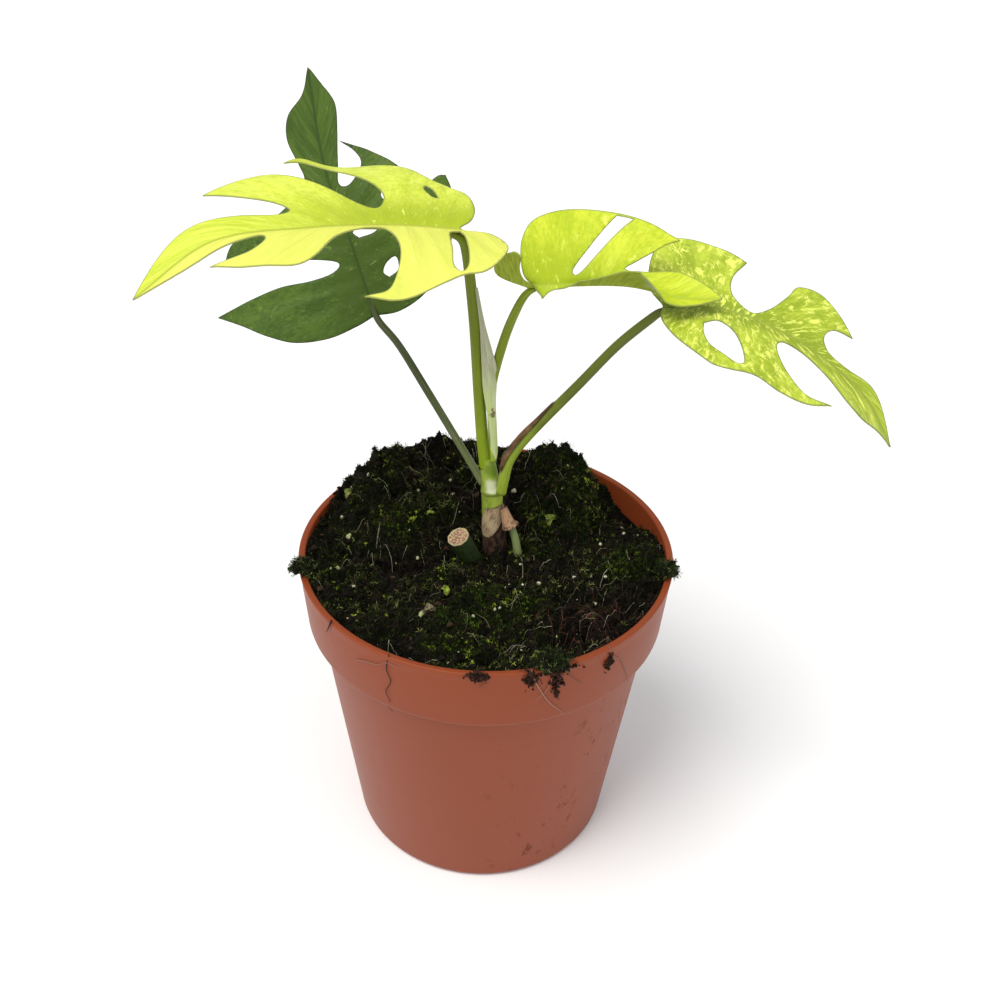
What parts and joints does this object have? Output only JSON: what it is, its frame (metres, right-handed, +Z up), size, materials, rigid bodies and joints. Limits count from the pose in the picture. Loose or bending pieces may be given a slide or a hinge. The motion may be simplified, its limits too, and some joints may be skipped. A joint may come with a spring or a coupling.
{
  "type": "potted monstera plant",
  "caption": "Young split-leaf monstera in a round terracotta-coloured nursery pot, with holed and lobed leaves on slim stalks, mossy peat soil and a cut stem stub.",
  "frame": {"origin": "middle of the pot's flat base, on the surface that it stands on", "axes": "+Z up along the pot's axis; -Y is the front, which shows the big left leaf at -X and the drooping right leaf at +X"},
  "size_m": [0.2118, 0.1425, 0.2356],
  "materials": {
    "pot_plastic": "satin terracotta-coloured moulded plastic",
    "peat": "damp dark peat with roots and bark",
    "green_stem": "satin live green stem",
    "grey_stalk": "grey-green ribbed stalk",
    "pale_sheath": "pale thin membrane",
    "dry_sheath": "dried brown membrane",
    "papery_sheath": "papery tan membrane",
    "root_skin": "grey-green root",
    "stump_bark": "dark green cut stem with a tan cut face",
    "leaf_left_blade": "satin yellow-green live leaf",
    "leaf_right_blade": "satin mottled green and yellow live leaf",
    "leaf_back_blade": "satin dark green live leaf",
    "leaf_young_blade": "satin bright green young leaf",
    "moss": "soft green moss",
    "perlite": "white porous grain",
    "crumb": "crumb of mossy peat"
  },
  "bodies": {
    "root": {"pot": "pot_plastic", "soil": "peat", "stem": "green_stem", "stalk_left": "green_stem", "stalk_young": "green_stem", "stalk_right": "green_stem", "stalk_back": "grey_stalk", "stalk_sheath": "pale_sheath", "dried_sheath": "dry_sheath", "papery_sheath": "papery_sheath", "root_collar": "dry_sheath", "aerial_root": "root_skin", "cut_stump": "stump_bark", "leaf_left": "leaf_left_blade", "leaf_right": "leaf_right_blade", "leaf_back": "leaf_back_blade", "leaf_young": "leaf_young_blade", "moss_front": "moss", "moss_front_edge": "moss", "moss_left": "moss", "moss_back_left": "moss", "moss_right": "moss", "moss_back_right": "moss", "peat_back": "peat", "peat_back_right": "peat", "perlite_1": "perlite", "perlite_2": "perlite", "perlite_3": "perlite", "perlite_4": "perlite", "perlite_5": "perlite", "perlite_6": "perlite", "crumb_left": "crumb", "crumb_right": "crumb", "crumb_front": "crumb"}
  },
  "joints": []
}
